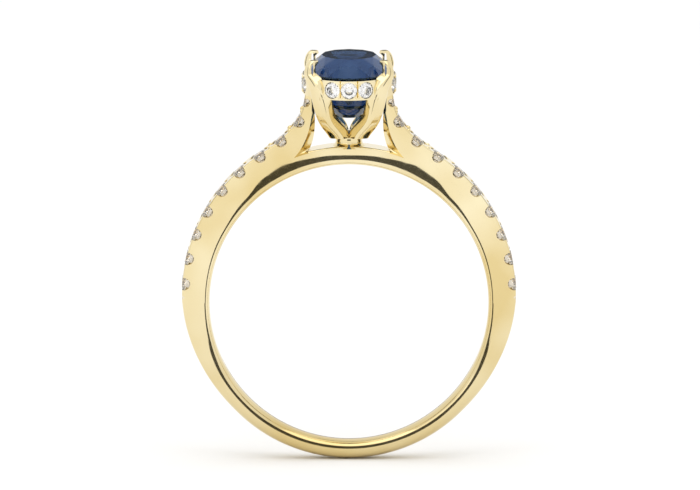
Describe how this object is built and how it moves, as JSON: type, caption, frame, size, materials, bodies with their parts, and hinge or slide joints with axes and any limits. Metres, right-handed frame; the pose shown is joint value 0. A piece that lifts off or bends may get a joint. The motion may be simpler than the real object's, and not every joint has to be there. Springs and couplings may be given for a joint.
{
  "type": "engagement ring",
  "caption": "Cathedral engagement ring: oval sapphire in split claws over a hidden halo, with diamond-set shoulders on a plain tapering shank.",
  "frame": {"origin": "centre of the finger hole, midway between the ring's two side faces", "axes": "+Y along the finger, +Z from the finger to the sapphire, +X to the right-hand shoulder"},
  "size_m": [0.02, 0.0076, 0.0241],
  "materials": {
    "yellow_gold": "bright polish, 18 carat yellow gold",
    "sapphire": "polished facets, dark blue sapphire",
    "diamond": "polished facets, near-colourless diamond"
  },
  "bodies": {
    "root": {"shank": "yellow_gold", "bridge": "yellow_gold", "collet": "yellow_gold", "shoulder_right": "yellow_gold", "shoulder_left": "yellow_gold", "claw_front_left": "yellow_gold", "claw_front_right": "yellow_gold", "claw_back_left": "yellow_gold", "claw_back_right": "yellow_gold", "halo_collar_front": "yellow_gold", "halo_collar_back": "yellow_gold", "halo_collar_left": "yellow_gold", "halo_collar_right": "yellow_gold", "sapphire": "sapphire", "shoulder_diamond_left_01": "diamond", "shoulder_diamond_left_02": "diamond", "shoulder_diamond_left_03": "diamond", "shoulder_diamond_left_04": "diamond", "shoulder_diamond_left_05": "diamond", "shoulder_diamond_left_06": "diamond", "shoulder_diamond_left_07": "diamond", "shoulder_diamond_left_08": "diamond", "shoulder_diamond_left_09": "diamond", "shoulder_diamond_left_10": "diamond", "shoulder_diamond_right_01": "diamond", "shoulder_diamond_right_02": "diamond", "shoulder_diamond_right_03": "diamond", "shoulder_diamond_right_04": "diamond", "shoulder_diamond_right_05": "diamond", "shoulder_diamond_right_06": "diamond", "shoulder_diamond_right_07": "diamond", "shoulder_diamond_right_08": "diamond", "shoulder_diamond_right_09": "diamond", "shoulder_diamond_right_10": "diamond", "halo_diamond_front_1": "diamond", "halo_diamond_front_2": "diamond", "halo_diamond_front_3": "diamond", "halo_diamond_back_1": "diamond", "halo_diamond_back_2": "diamond", "halo_diamond_back_3": "diamond", "halo_diamond_left_1": "diamond", "halo_diamond_left_2": "diamond", "halo_diamond_left_3": "diamond", "halo_diamond_right_1": "diamond", "halo_diamond_right_2": "diamond", "halo_diamond_right_3": "diamond"}
  },
  "joints": []
}
